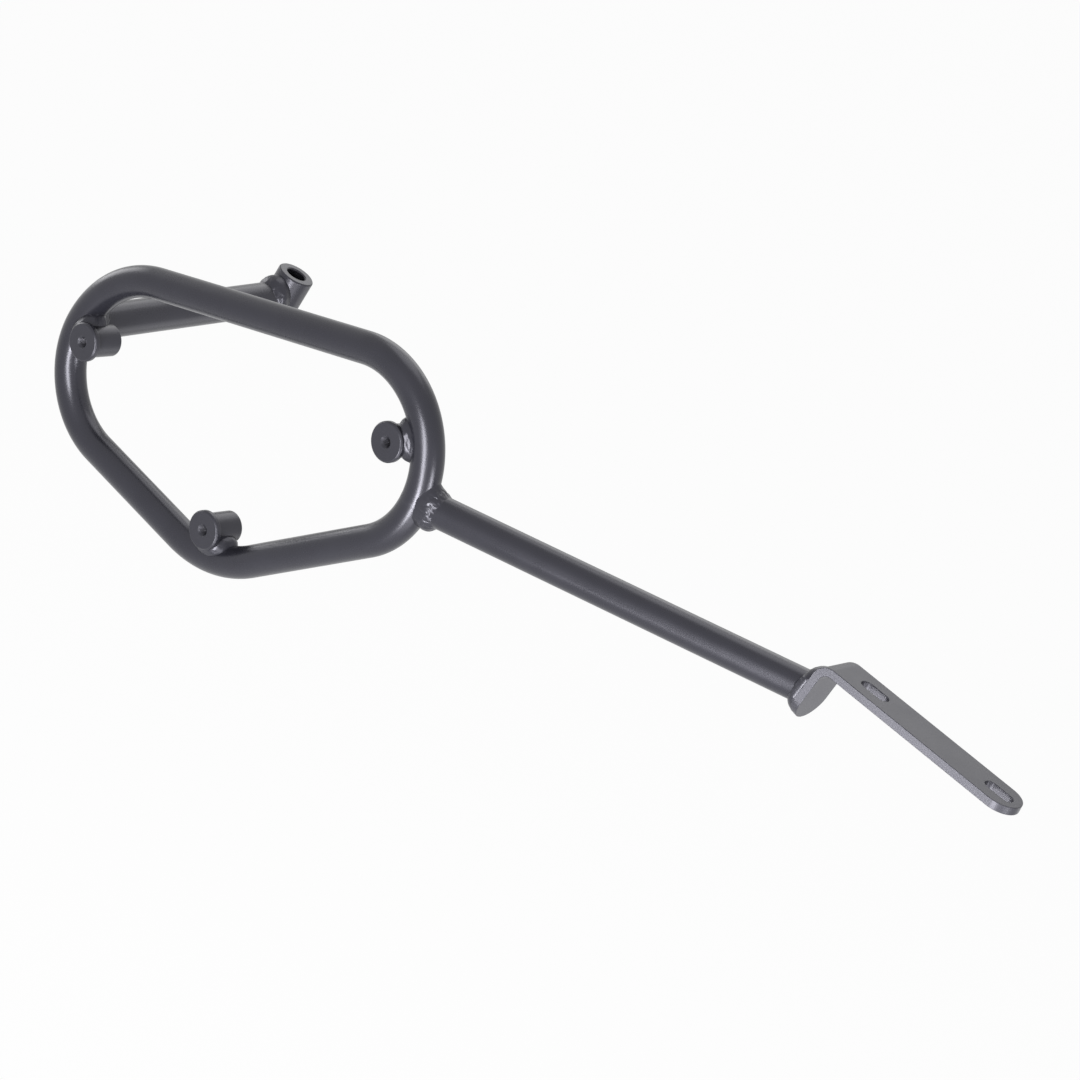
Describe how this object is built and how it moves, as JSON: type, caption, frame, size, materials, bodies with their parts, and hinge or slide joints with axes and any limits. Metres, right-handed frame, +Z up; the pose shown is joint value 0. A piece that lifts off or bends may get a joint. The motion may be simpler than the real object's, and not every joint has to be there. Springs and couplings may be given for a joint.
{
  "type": "pannier frame",
  "caption": "Welded tubular pannier frame: a bent loop with threaded bosses, a brace with a bolt sleeve and a rear strut with a slotted bracket carry a bag beside a motorbike's tail.",
  "frame": {"origin": "centre of the two-slot pattern, on the top face of the rear bracket", "axes": "+X forward along the bracket, +Y outward to the bike's left, towards the bag, +Z up, out of the bracket's top face"},
  "size_m": [0.5627, 0.1692, 0.164],
  "materials": {
    "tube_coat": "satin black powder coat on bent and straight tube",
    "turned_coat": "satin black powder coat on turned steel",
    "bar_coat": "satin black powder coat on flat bar",
    "weld_coat": "satin black powder coat over weld beads"
  },
  "bodies": {
    "root": {"loop_tube": "tube_coat", "loop_closing_weld": "weld_coat", "front_boss": "turned_coat", "lower_boss": "turned_coat", "rear_boss": "turned_coat", "front_boss_weld": "weld_coat", "lower_boss_weld": "weld_coat", "rear_boss_weld": "weld_coat", "brace_tube": "tube_coat", "brace_loop_weld": "weld_coat", "mounting_sleeve": "turned_coat", "brace_sleeve_weld": "weld_coat", "strut_tube": "tube_coat", "strut_loop_weld": "weld_coat", "rear_bracket": "bar_coat", "strut_bracket_weld": "weld_coat"}
  },
  "joints": []
}
